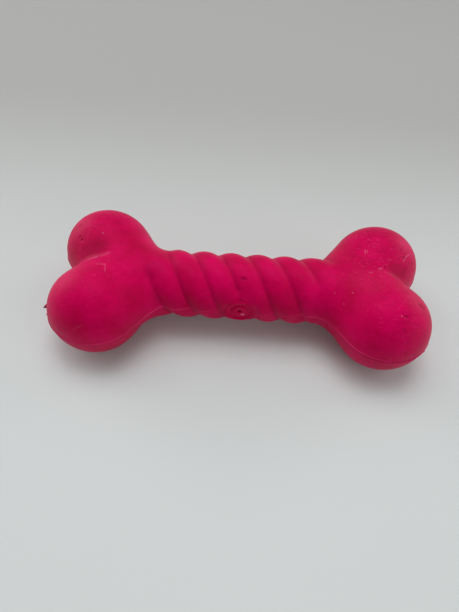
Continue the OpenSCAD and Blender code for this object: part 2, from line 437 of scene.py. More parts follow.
class SkinTrees:
    """Geometry trees that lay points on the bone's skin: its form, its ribs and the rays that meet them."""

    FORM = {
        "Knob Centre": VECTOR, "Knob Half Size": VECTOR, "Neck Centre": VECTOR, "Neck Half Size": VECTOR,
        "Shaft Radius": FLOAT, "Shaft Reach": FLOAT,
        "Knob Blend": FLOAT, "Neck Blend": FLOAT, "Crease Blend": FLOAT,
    }
    RIBS = {
        "Rib Pitch": FLOAT, "Rib Lead": FLOAT, "Rib Depth": FLOAT, "Rib Full Length": FLOAT,
        "Rib Fade Length": FLOAT, "Rib Skew": FLOAT, "Groove Softness": FLOAT,
    }
    RAYS = {
        "Rib Lead": FLOAT, "Shaft Reach": FLOAT, "Slant Length": FLOAT, "Ring Step": FLOAT,
        "Cap Rings": FLOAT,
    }
    HALVINGS = 18

    def __init__(self) -> None:
        """Builds the trees, each from the ones before it."""
        self.soft_union = self.build_soft_union()
        self.egg = self.build_egg()
        self.distance = self.build_distance()
        self.rib = self.build_rib()
        self.ray = self.build_ray()
        self.search = self.build_search()
        self.lay = self.build_lay()

    def build_soft_union(self) -> Tree:
        """A soft minimum of two distances: less than either of them where they differ by less than Reach.

        Returns:
            The tree.
        """
        tree, given = new_tree("Soft Union", {"A": FLOAT, "B": FLOAT, "Reach": FLOAT}, {"Distance": FLOAT})
        apart = add(tree, MATH, (given["A"], given["B"]), operation="SUBTRACT")
        apart = add(tree, MATH, (apart,), operation="ABSOLUTE")
        near = add(tree, MATH, (given["Reach"], apart), operation="SUBTRACT")
        near = add(tree, MATH, (near, 0.0), operation="MAXIMUM")
        square = add(tree, MATH, (near, near), operation="MULTIPLY")
        share = add(tree, MATH, (square, given["Reach"]), operation="DIVIDE")
        least = add(tree, MATH, (given["A"], given["B"]), operation="MINIMUM")
        soft = add(tree, MATH, (share, -0.25, least), operation="MULTIPLY_ADD")
        add(tree, "NodeGroupOutput", (soft,))
        return tree

    def build_egg(self) -> Tree:
        """Distance to an ellipsoid, close enough near its surface.

        Returns:
            The tree.
        """
        inputs = {"Point": VECTOR, "Centre": VECTOR, "Half Size": VECTOR}
        tree, given = new_tree("Egg Distance", inputs, {"Distance": FLOAT})
        point = add(tree, VECTOR_MATH, (given["Point"], given["Centre"]), operation="SUBTRACT")
        once = add(tree, VECTOR_MATH, (point, given["Half Size"]), operation="DIVIDE")
        twice = add(tree, VECTOR_MATH, (once, given["Half Size"]), operation="DIVIDE")
        far = add(tree, VECTOR_MATH, (once,), operation="LENGTH")
        slope = add(tree, VECTOR_MATH, (twice,), operation="LENGTH")
        past = add(tree, MATH, (far, 1.0), operation="SUBTRACT")
        past = add(tree, MATH, (far, past), operation="MULTIPLY")
        add(tree, "NodeGroupOutput", (add(tree, MATH, (past, slope), operation="DIVIDE"),))
        return tree

    def build_distance(self) -> Tree:
        """Distance to the smooth skin of the bone, without its ribs, from a point measured from the seam.

        Returns:
            The tree.
        """
        tree, given = new_tree("Bone Distance", {"Point": VECTOR, **self.FORM}, {"Distance": FLOAT})
        point = add(tree, VECTOR_MATH, (given["Point"],), operation="ABSOLUTE")
        across = add(tree, VECTOR_MATH, (given["Knob Centre"], (1.0, -1.0, 1.0)), operation="MULTIPLY")
        knobs = [
            add(tree, GROUP, (point, centre, given["Knob Half Size"]), node_tree=self.egg)
            for centre in (given["Knob Centre"], across)
        ]
        neck = add(tree, GROUP, (point, given["Neck Centre"], given["Neck Half Size"]), node_tree=self.egg)
        reach = add(tree, "ShaderNodeCombineXYZ", (given["Shaft Reach"],))
        beyond = add(tree, VECTOR_MATH, (point, reach), operation="SUBTRACT")
        beyond = add(tree, VECTOR_MATH, (beyond, (0.0, 0.0, 0.0)), operation="MAXIMUM")
        shaft = add(tree, VECTOR_MATH, (beyond,), operation="LENGTH")
        shaft = add(tree, MATH, (shaft, given["Shaft Radius"]), operation="SUBTRACT")
        pair = add(tree, GROUP, (knobs[0], knobs[1], given["Knob Blend"]), node_tree=self.soft_union)
        middle = add(tree, GROUP, (neck, shaft, given["Neck Blend"]), node_tree=self.soft_union)
        whole = add(tree, GROUP, (pair, middle, given["Crease Blend"]), node_tree=self.soft_union)
        add(tree, "NodeGroupOutput", (whole,))
        return tree

    def build_rib(self) -> Tree:
        """Height of the ribs above the mean shaft, at a place along the bone and a share of a turn round it.

        Returns:
            The tree.
        """
        tree, given = new_tree("Rib Height", {"Along": FLOAT, "Turn": FLOAT, **self.RIBS}, {"Height": FLOAT})
        turn = add(tree, MATH, (given["Turn"], TOP_TURN), operation="SUBTRACT")
        phase = add(tree, MATH, (turn, given["Rib Lead"], given["Along"]), operation="MULTIPLY_ADD")
        phase = add(tree, MATH, (phase, given["Rib Pitch"]), operation="DIVIDE")
        phase = add(tree, MATH, (phase, math.pi), operation="MULTIPLY")
        wave = add(tree, MATH, (phase,), operation="COSINE")
        soft = add(tree, MATH, (given["Groove Softness"], 2.0), operation="POWER")
        wave = add(tree, MATH, (wave, wave, soft), operation="MULTIPLY_ADD")
        wave = add(tree, MATH, (wave,), operation="SQRT")
        wave = add(tree, MATH, (wave, 2 / math.pi), operation="SUBTRACT")
        side = add(tree, MATH, (given["Turn"], math.tau), operation="MULTIPLY")
        side = add(tree, MATH, (side,), operation="COSINE")
        along = add(tree, MATH, (side, given["Rib Skew"], given["Along"]), operation="MULTIPLY_ADD")
        along = add(tree, MATH, (along,), operation="ABSOLUTE")
        full = add(tree, MATH, (given["Rib Full Length"], 0.5), operation="MULTIPLY")
        gone = add(tree, MATH, (full, given["Rib Fade Length"]), operation="ADD")
        strength = add(
            tree, "ShaderNodeMapRange", (along, full, gone, 1.0, 0.0), interpolation_type="SMOOTHSTEP")
        height = add(tree, MATH, (wave, strength), operation="MULTIPLY")
        height = add(tree, MATH, (height, given["Rib Depth"]), operation="MULTIPLY")
        add(tree, "NodeGroupOutput", (height,))
        return tree

    def build_ray(self) -> Tree:
        """The ray that meets the skin at a ring and a share of a turn.

        The rings lean with the ribs along the shaft and fan out round the ends of the bone.

        Returns:
            The tree.
        """
        tree, given = new_tree(
            "Skin Ray", {"Ring": FLOAT, "Turn": FLOAT, "Side": FLOAT, **self.RAYS},
            {"Start": VECTOR, "Way": VECTOR, "Along": FLOAT, "Level": FLOAT})
        along = add(tree, MATH, (given["Ring"], given["Ring Step"]), operation="MULTIPLY")
        back = add(tree, MATH, (given["Shaft Reach"], -1.0), operation="MULTIPLY")
        centre = add(tree, "ShaderNodeClamp", (along, back, given["Shaft Reach"]))
        over = add(tree, MATH, (along, centre), operation="SUBTRACT")
        over = add(tree, MATH, (over, given["Ring Step"]), operation="DIVIDE")
        tilt = add(tree, MATH, (over, given["Cap Rings"]), operation="DIVIDE")
        tilt = add(tree, "ShaderNodeClamp", (tilt, -1.0, 1.0))
        tilt = add(tree, MATH, (tilt, math.pi / 2), operation="MULTIPLY")
        away = add(tree, MATH, (centre,), operation="ABSOLUTE")
        straight = add(tree, MATH, (given["Shaft Reach"], given["Slant Length"]), operation="SUBTRACT")
        lean = add(tree, "ShaderNodeMapRange", (away, straight, given["Shaft Reach"], 1.0, 0.0))
        lean = add(tree, MATH, (lean, given["Rib Lead"]), operation="MULTIPLY")
        turn = add(tree, MATH, (given["Turn"], given["Side"]), operation="MULTIPLY")
        shift = add(tree, MATH, (given["Turn"], TOP_TURN), operation="SUBTRACT")
        shift = add(tree, MATH, (shift, lean), operation="MULTIPLY")
        shift = add(tree, MATH, (shift, given["Side"]), operation="MULTIPLY")
        place = add(tree, MATH, (centre, shift), operation="SUBTRACT")
        angle = add(tree, MATH, (turn, math.tau), operation="MULTIPLY")
        level = add(tree, MATH, (tilt,), operation="COSINE")
        across = add(tree, MATH, (add(tree, MATH, (angle,), operation="COSINE"), level), operation="MULTIPLY")
        across = add(tree, MATH, (across, -1.0), operation="MULTIPLY")
        up = add(tree, MATH, (add(tree, MATH, (angle,), operation="SINE"), level), operation="MULTIPLY")
        way = add(tree, "ShaderNodeCombineXYZ", (add(tree, MATH, (tilt,), operation="SINE"), across, up))
        start = add(tree, "ShaderNodeCombineXYZ", (place,))
        add(tree, "NodeGroupOutput", (start, way, place, level))
        return tree

    def build_search(self) -> Tree:
        """Finds how far along its ray each point meets the skin, less a depth.

        Each round halves the stretch of the ray that holds the place.

        Returns:
            The tree.
        """
        inputs = {
            "Geometry": GEOMETRY, "Start": VECTOR, "Way": VECTOR, "Depth": FLOAT, "Search Reach": FLOAT,
            **self.FORM,
        }
        tree, given = new_tree("Skin Search", inputs, {"Geometry": GEOMETRY, "Length": FLOAT})
        half = add(tree, MATH, (given["Search Reach"], 0.5), operation="MULTIPLY")
        step = add(tree, MATH, (half, 0.5), operation="MULTIPLY")
        points = add(tree, "GeometryNodeStoreNamedAttribute",
                     {"Geometry": given["Geometry"], "Name": RAY_LENGTH, "Value": half})
        enter, leave = (tree.nodes.new("GeometryNodeRepeat" + end) for end in ("Input", "Output"))
        enter.pair_with_output(leave)
        leave.repeat_items.new("FLOAT", "Step")
        enter.inputs["Iterations"].default_value = self.HALVINGS
        tree.links.new(points, enter.inputs["Geometry"])
        tree.links.new(step, enter.inputs["Step"])
        length = add(tree, "GeometryNodeInputNamedAttribute", {"Name": RAY_LENGTH})
        point = add(tree, VECTOR_MATH, (given["Way"], length, given["Start"]), operation="MULTIPLY_ADD")
        distance = add(tree, GROUP, shared(given, self.distance, Point=point), node_tree=self.distance)
        inside = add(tree, MATH, (given["Depth"], -1.0), operation="MULTIPLY")
        outside = add(tree, MATH, (distance, inside), operation="GREATER_THAN")
        way = add(tree, MATH, (outside, -2.0, 1.0), operation="MULTIPLY_ADD")
        nearer = add(tree, MATH, (way, enter.outputs["Step"], length), operation="MULTIPLY_ADD")
        stored = add(tree, "GeometryNodeStoreNamedAttribute",
                     {"Geometry": enter.outputs["Geometry"], "Name": RAY_LENGTH, "Value": nearer})
        tree.links.new(stored, leave.inputs["Geometry"])
        shorter = add(tree, MATH, (enter.outputs["Step"], 0.5), operation="MULTIPLY")
        tree.links.new(shorter, leave.inputs["Step"])
        found = add(tree, "GeometryNodeInputNamedAttribute", {"Name": RAY_LENGTH})
        add(tree, "NodeGroupOutput", (leave.outputs["Geometry"], found))
        return tree

    def build_lay(self) -> Tree:
        """Lays points on the skin or the inner wall, by their ring, turn, depth and share of the ribs.

        Returns:
            The tree.
        """
        inputs = {
            "Geometry": GEOMETRY, "Ring": FLOAT, "Turn": FLOAT, "Side": FLOAT, "Depth": FLOAT,
            "Rib Share": FLOAT, "Seam Height": FLOAT, "Search Reach": FLOAT,
            **self.FORM, **self.RIBS, **self.RAYS,
        }
        tree, given = new_tree("Lay On Skin", inputs, {"Geometry": GEOMETRY})
        ray = add(tree, GROUP, shared(given, self.ray), node_tree=self.ray).node.outputs
        found = add(tree, GROUP, shared(given, self.search, Start=ray["Start"], Way=ray["Way"]),
                    node_tree=self.search)
        turn = add(tree, MATH, (given["Turn"], given["Side"]), operation="MULTIPLY")
        rib = add(tree, GROUP, shared(given, self.rib, Along=ray["Along"], Turn=turn), node_tree=self.rib)
        rib = add(tree, MATH, (rib, given["Rib Share"]), operation="MULTIPLY")
        length = add(tree, MATH, (rib, ray["Level"], found.node.outputs["Length"]), operation="MULTIPLY_ADD")
        point = add(tree, VECTOR_MATH, (ray["Way"], length, ray["Start"]), operation="MULTIPLY_ADD")
        lift = add(tree, "ShaderNodeCombineXYZ", {"Z": given["Seam Height"]})
        point = add(tree, VECTOR_MATH, (point, lift), operation="ADD")
        laid = add(tree, "GeometryNodeSetPosition", {"Geometry": found, "Position": point})
        laid = add(tree, "GeometryNodeRemoveAttribute", {"Geometry": laid, "Name": RAY_LENGTH})
        add(tree, "NodeGroupOutput", (laid,))
        return tree

    def build_half(self) -> Tree:
        """One closed half of the bone: a grid wrapped round the skin, the seam face and the inner wall.

        Returns:
            The tree.
        """
        inputs = {
            "Side": FLOAT, "Skin Steps": WHOLE, "Wall Steps": WHOLE, "Rings": WHOLE, "Wall": FLOAT,
            "Evenness": FLOAT, "Material": MATERIAL, "Seam Height": FLOAT, "Search Reach": FLOAT,
            **self.FORM, **self.RIBS, **self.RAYS,
        }
        tree, given = new_tree("Half Shell", inputs, {"Geometry": GEOMETRY})
        steps = add(tree, MATH, (given["Skin Steps"], given["Wall Steps"]), operation="ADD")
        across = add(tree, MATH, (steps, 2.0), operation="ADD")
        along = add(tree, MATH, (given["Rings"], 2.0), operation="MULTIPLY")
        grid = add(tree, "GeometryNodeMeshGrid", (
            across, along, add(tree, MATH, (across, 1.0), operation="ADD"),
            add(tree, MATH, (along, 1.0), operation="ADD")))
        place = add(tree, "ShaderNodeSeparateXYZ", (add(tree, "GeometryNodeInputPosition"),)).node.outputs
        column = add(tree, MATH, (across, 0.5, place["X"]), operation="MULTIPLY_ADD")
        on_skin = add(tree, MATH, (column, given["Skin Steps"]), operation="DIVIDE")
        past = add(tree, MATH, (column, given["Skin Steps"]), operation="SUBTRACT")
        on_wall = add(tree, MATH, (past, -1.0, 1.0), operation="MULTIPLY_ADD")
        on_wall = add(tree, MATH, (on_wall, given["Wall Steps"]), operation="DIVIDE")
        on_wall = add(tree, MATH, (on_wall, 1.0), operation="ADD")
        is_past = add(tree, MATH, (past, 0.5), operation="GREATER_THAN")
        share = add(tree, "ShaderNodeMix", (is_past, on_skin, on_wall))
        share = add(tree, "ShaderNodeClamp", (share, 0.0, 1.0))
        wave = add(tree, MATH, (add(tree, MATH, (share, math.tau), operation="MULTIPLY"),), operation="SINE")
        wave = add(tree, MATH, (wave, given["Evenness"]), operation="MULTIPLY")
        share = add(tree, MATH, (wave, -1 / math.tau, share), operation="MULTIPLY_ADD")
        turn = add(tree, MATH, (share, 0.5), operation="MULTIPLY")
        before_end = add(tree, MATH, (column, add(tree, MATH, (across, 0.5), operation="SUBTRACT")),
                         operation="LESS_THAN")
        is_wall = add(tree, MATH, (is_past, before_end), operation="MULTIPLY")
        depth = add(tree, MATH, (is_wall, given["Wall"]), operation="MULTIPLY")
        is_skin = add(tree, MATH, (1.0, is_wall), operation="SUBTRACT")
        ring = place["Y"]
        own = shared(given, self.lay, Geometry=grid, Ring=ring, Turn=turn, Depth=depth, Rib_Share=is_skin)
        laid = add(tree, GROUP, own, node_tree=self.lay)
        closed = add(tree, "GeometryNodeMergeByDistance", {"Geometry": laid, "Distance": WELD})
        lower = add(tree, "FunctionNodeCompare", (given["Side"], 0.0), operation="LESS_THAN")
        turned_out = add(tree, "GeometryNodeFlipFaces", {"Mesh": closed, "Selection": lower})
        smooth = add(tree, "GeometryNodeSetShadeSmooth", {"Geometry": turned_out})
        real = add(tree, "GeometryNodeRealizeInstances", {"Geometry": smooth})
        dressed = add(tree, "GeometryNodeSetMaterial", {"Geometry": real, "Material": given["Material"]})
        add(tree, "NodeGroupOutput", (dressed,))
        return tree

    def seam_line(self, tree: Tree, given: Given) -> tuple[Socket, Socket]:
        """Adds the line that the flash follows: the seam, within a box and clear of the squeaker's hole.

        Args:
            tree: The flash's tree.
            given: What the tree's inputs give, by name.

        Returns:
            The line as a curve, and how far inside the box's sides a place on it lies.
        """
        loop = add(tree, "GeometryNodeMeshCircle", {"Vertices": given["Points"]})
        share = add(tree, MATH, (add(tree, "GeometryNodeInputIndex"), given["Points"]), operation="DIVIDE")
        away = add(tree, MATH, (share, 4.0, -2.0), operation="MULTIPLY_ADD")
        away = add(tree, MATH, (away,), operation="ABSOLUTE")
        ring = add(tree, MATH, (1.0, away), operation="SUBTRACT")
        ring = add(tree, MATH, (ring, given["Rings"]), operation="MULTIPLY")
        is_back = add(tree, MATH, (share, 0.5), operation="GREATER_THAN")
        turn = add(tree, MATH, (is_back, 0.5), operation="MULTIPLY")
        own = shared(given, self.lay, Geometry=loop, Ring=ring, Turn=turn, Side=1.0, Depth=0.0, Rib_Share=1.0)
        laid = add(tree, GROUP, own, node_tree=self.lay)
        position = add(tree, "GeometryNodeInputPosition")
        place = add(tree, "ShaderNodeSeparateXYZ", (position,)).node.outputs
        aside = add(tree, MATH, (place["X"],), operation="ABSOLUTE")
        near = add(tree, MATH, (aside, given["Hole Radius"]), operation="LESS_THAN")
        front = add(tree, MATH, (place["Y"], 0.0), operation="LESS_THAN")
        in_hole = add(tree, MATH, (near, front), operation="MULTIPLY")
        below = add(tree, VECTOR_MATH, (given["Low Corner"], position), operation="SUBTRACT")
        above = add(tree, VECTOR_MATH, (position, given["High Corner"]), operation="SUBTRACT")
        beyond = add(tree, VECTOR_MATH, (below, above), operation="MAXIMUM")
        beyond = add(tree, "ShaderNodeSeparateXYZ", (beyond,)).node.outputs
        beyond = add(tree, MATH, (beyond["X"], beyond["Y"]), operation="MAXIMUM")
        outside = add(tree, MATH, (beyond, 0.0), operation="GREATER_THAN")
        left_out = add(tree, MATH, (in_hole, outside), operation="MAXIMUM")
        left_out = add(tree, "FunctionNodeCompare", (left_out, 0.5), operation="GREATER_THAN")
        line = add(tree, "GeometryNodeDeleteGeometry", {"Geometry": laid, "Selection": left_out})
        line = add(tree, "GeometryNodeMeshToCurve", {"Mesh": line})
        line = add(
            tree, "GeometryNodeResampleCurve", {"Curve": line, "Length": given["Spacing"]}, mode="LENGTH")
        line = add(tree, "GeometryNodeSetCurveNormal", {"Curve": line}, mode="Z_UP")
        return line, add(tree, MATH, (beyond, -1.0), operation="MULTIPLY")

    def bead_width(self, tree: Tree, given: Given, inside: Socket) -> Socket:
        """Adds the share of its full width that the flash has: uneven, thin on the shaft, dying at its ends.

        Args:
            tree: The flash's tree.
            given: What the tree's inputs give, by name.
            inside: How far inside the box's sides the place lies.

        Returns:
            The share.
        """
        position = add(tree, "GeometryNodeInputPosition")
        grain = add(tree, MATH, (1.0, given["Wave Length"]), operation="DIVIDE")
        feeds = {"Vector": position, "W": given["Seed"], "Scale": grain, "Detail": 3.0}
        noise = add(tree, "ShaderNodeTexNoise", feeds, noise_dimensions="4D")
        noise = add(tree, MATH, (noise, 0.5), operation="SUBTRACT")
        width = add(tree, MATH, (noise, given["Unevenness"], 1.0), operation="MULTIPLY_ADD")
        aside = add(tree, "ShaderNodeSeparateXYZ", (position,)).node.outputs["X"]
        aside = add(tree, MATH, (aside,), operation="ABSOLUTE")
        trimmed = add(tree, "ShaderNodeMapRange", (
            aside, given["Hole Radius"], given["Trimmed Length"], given["Trimmed Share"], 1.0))
        width = add(tree, MATH, (width, trimmed), operation="MULTIPLY")
        ending = add(tree, "ShaderNodeMapRange", (inside, 0.0, given["Wave Length"], given["End Share"], 1.0))
        return add(tree, MATH, (width, ending), operation="MULTIPLY")

    def build_flash(self) -> Tree:
        """A thin uneven bead of flash along the seam.

        Returns:
            The tree.
        """
        inputs = {
            "Points": WHOLE, "Rings": WHOLE, "Spacing": FLOAT, "Proud": FLOAT, "Half Height": FLOAT,
            "Unevenness": FLOAT, "Wave Length": FLOAT, "Seed": FLOAT, "Hole Radius": FLOAT,
            "Trimmed Length": FLOAT, "Trimmed Share": FLOAT, "End Share": FLOAT, "Material": MATERIAL,
            "Low Corner": VECTOR, "High Corner": VECTOR, "Seam Height": FLOAT, "Search Reach": FLOAT,
            **self.FORM, **self.RIBS, **self.RAYS,
        }
        tree, given = new_tree("Seam Flash", inputs, {"Geometry": GEOMETRY})
        line, inside = self.seam_line(tree, given)
        width = self.bead_width(tree, given, inside)
        outline = add(tree, "GeometryNodeCurvePrimitiveCircle", {"Resolution": 4, "Radius": 1.0})
        size = add(tree, "ShaderNodeCombineXYZ", (given["Proud"], given["Half Height"], 1.0))
        outline = add(tree, "GeometryNodeTransform", {"Geometry": outline, "Scale": size})
        feeds = {"Curve": line, "Profile Curve": outline, "Scale": width, "Fill Caps": True}
        bead = add(tree, "GeometryNodeCurveToMesh", feeds)
        bead = add(tree, "GeometryNodeSetShadeSmooth", {"Geometry": bead})
        real = add(tree, "GeometryNodeRealizeInstances", {"Geometry": bead})
        dressed = add(tree, "GeometryNodeSetMaterial", {"Geometry": real, "Material": given["Material"]})
        add(tree, "NodeGroupOutput", (dressed,))
        return tree


def new_material(name: str, **sockets: Feed) -> tuple[bpy.types.Material, bpy.types.Node]:
    """Makes a material with one shader and sets the shader's own sockets.

    Args:
        name: The material's name.
        sockets: Values by input name, with _ for a space.

    Returns:
        The material and its shader.
    """
    material = bpy.data.materials.new(name)
    material.use_nodes = True
    tree = material.node_tree
    tree.nodes.clear()
    feeds = {label.replace("_", " "): value for label, value in sockets.items()}
    shader = add(tree, "ShaderNodeBsdfPrincipled", feeds).node
    add(tree, "ShaderNodeOutputMaterial", (shader.outputs[0],))
    return material, shader


@dataclass(frozen=True)
class Mark:
    """A tear, nick, scratch or worn patch in the skin, or a patch of painted shade or painted highlight, from
    one place to another.

    Its places, radius and sink are in mm. Its tone is how pale it is, or how dark where it is below zero.
    """

    CORE_SHARE = 0.3

    start: tuple[float, float, float]
    radius: float
    sink: float
    tone: float
    end: tuple[float, float, float] | None = None

    def share(self, tree: Tree, place: Socket, group: Tree) -> Socket:
        """Adds how strongly the mark shows at a place.

        Args:
            tree: The material's tree.
            place: The place on the bone.
            group: The rule of a mark.

        Returns:
            The share, from 0 to 1.
        """
        ends = [tuple(MM * v for v in end) for end in (self.start, self.end or self.start)]
        return add(tree, "ShaderNodeGroup", (place, *ends, MM * self.radius), node_tree=group)


def mark_reach() -> Tree:
    """Builds the rule of a mark: 1 near the line between its ends, fading to 0 a radius away.

    Returns:
        The tree.
    """
    inputs = {"Place": VECTOR, "Start": VECTOR, "End": VECTOR, "Radius": FLOAT}
    tree, given = new_tree("Mark Reach", inputs, {"Share": FLOAT}, "ShaderNodeTree")
    past = add(tree, VECTOR_MATH, (given["Place"], given["Start"]), operation="SUBTRACT")
    run = add(tree, VECTOR_MATH, (given["End"], given["Start"]), operation="SUBTRACT")
    along = add(tree, VECTOR_MATH, (past, run), operation="DOT_PRODUCT")
    square = add(tree, VECTOR_MATH, (run, run), operation="DOT_PRODUCT")
    square = add(tree, MATH, (square, WELD ** 2), operation="MAXIMUM")
    share = add(tree, MATH, (along, square), operation="DIVIDE", use_clamp=True)
    nearest = add(tree, VECTOR_MATH, (run, share), operation="SCALE")
    away = add(tree, VECTOR_MATH, (past, nearest), operation="DISTANCE")
    core = add(tree, MATH, (given["Radius"], Mark.CORE_SHARE), operation="MULTIPLY")
    shown = add(
        tree, "ShaderNodeMapRange", (away, core, given["Radius"], 1.0, 0.0), interpolation_type="SMOOTHSTEP")
    add(tree, "NodeGroupOutput", (shown,))
    return tree


# Tears, nicks and scratches, and last the patches of painted shade and painted highlights.
MARKS = (
    Mark((0.3, -5.6, 30.1), 1.1, 0.3, -0.4, (1.7, -5.8, 30.0)), Mark((-40.4, -19.2, 31.6), 0.5, -0.04, 0.25),
    Mark((-66.7, 14.3, 33.4), 0.9, 0.3, -0.25), Mark((-65.7, 9.1, 32.4), 0.9, 0.3, -0.35),
    Mark((-64.5, 7.5, 32.2), 1.0, 0.35, -0.3), Mark((-56.1, 9.2, 35.3), 0.45, -0.08, 0.4),
    Mark((64.9, 8.6, 32.5), 0.7, 0.4, -0.4), Mark((64.7, 7.1, 32.0), 0.4, -0.08, 0.5, (65.4, 8.7, 32.4)),
    Mark((65.9, 9.3, 32.4), 0.35, -0.06, 0.45, (67.3, 11.0, 32.2)),
    Mark((68.3, 12.1, 31.8), 0.35, -0.05, 0.35, (69.1, 11.2, 30.7)),
    Mark((48.9, 9.9, 34.6), 0.35, -0.05, 0.3, (48.7, 7.6, 34.4)),
    Mark((49.6, 9.5, 34.8), 0.3, -0.05, 0.25, (49.5, 8.0, 34.6)),
    Mark((53.5, 1.0, 33.3), 0.5, -0.05, 0.35, (54.6, 1.4, 33.2)), Mark((55.8, 2.3, 33.2), 0.6, 0.2, -0.3),
    Mark((49.1, -1.3, 33.7), 0.45, 0.05, 0.25, (50.6, -1.7, 33.8)), Mark((59.4, -22.7, 34.5), 0.9, 0.4, -0.3),
    Mark((57.9, -22.6, 34.8), 0.6, -0.08, 0.3), Mark((58.9, -26.9, 31.6), 0.7, 0.1, -0.15),
    Mark((55.7, -17.9, 36.2), 0.5, 0.1, -0.2), Mark((66.0, -16.3, 33.9), 0.6, 0.3, -0.4, (67.7, -17.1, 32.7)),
    Mark((36.1, -9.4, 29.5), 0.45, -0.06, 0.5), Mark((42.2, -10.9, 32.0), 0.45, -0.06, 0.4),
    Mark((39.3, -13.9, 28.7), 0.4, -0.06, 0.35), Mark((-49.1, -14.3, 34.8), 0.6, 0.05, -0.15),
    Mark((-60.5, -30.8, 25.0), 0.6, 0.05, 0.05, (-57.0, -30.1, 27.5)),
    Mark((-55.5, -6.9, 34.7), 0.45, 0.06, 0.2, (-52.2, -6.6, 34.8)),
    Mark((-52.2, -6.6, 34.8), 0.4, 0.05, 0.18, (-51.3, -10.5, 35.2)),
    # Painted shade on the torn scrap of flash at the front left knob and the rubber round it.
    Mark((-77.0, -16.5, 18.2), 2.2, 0.0, -0.9),
    # A painted highlight along the top edge of the front left knob, beside the valley.
    Mark((-60.3, -1.9, 31.4), 0.9, 0.0, 0.45, (-57.2, -1.4, 32.5)),
    Mark((-57.2, -1.4, 32.5), 1.1, 0.0, 0.16, (-52.6, 0.3, 33.4)),
    # Painted shade in the valley between the left knobs.
    Mark((-60.8, 2.6, 31.4), 6.5, 0.0, -0.28, (-57.4, 3.9, 33.2)),
    # Painted shade in the valley between the right knobs, and at the left neck.
    Mark((60.0, 2.5, 31.5), 4.5, 0.0, -0.24, (63.5, 3.5, 29.8)), Mark((-34.2, -4.1, 31.4), 6.0, 0.0, -0.22),
    # Painted shade on the back knobs.
    Mark((52.1, 20.5, 34.9), 9.0, 0.0, -0.12), Mark((-51.0, 20.6, 34.5), 8.0, 0.0, -0.1),
    # A faint painted highlight on the front right knob.
    Mark((45.5, -5.0, 33.8), 6.5, 0.0, 0.03, (49.3, -8.8, 35.0)),
)


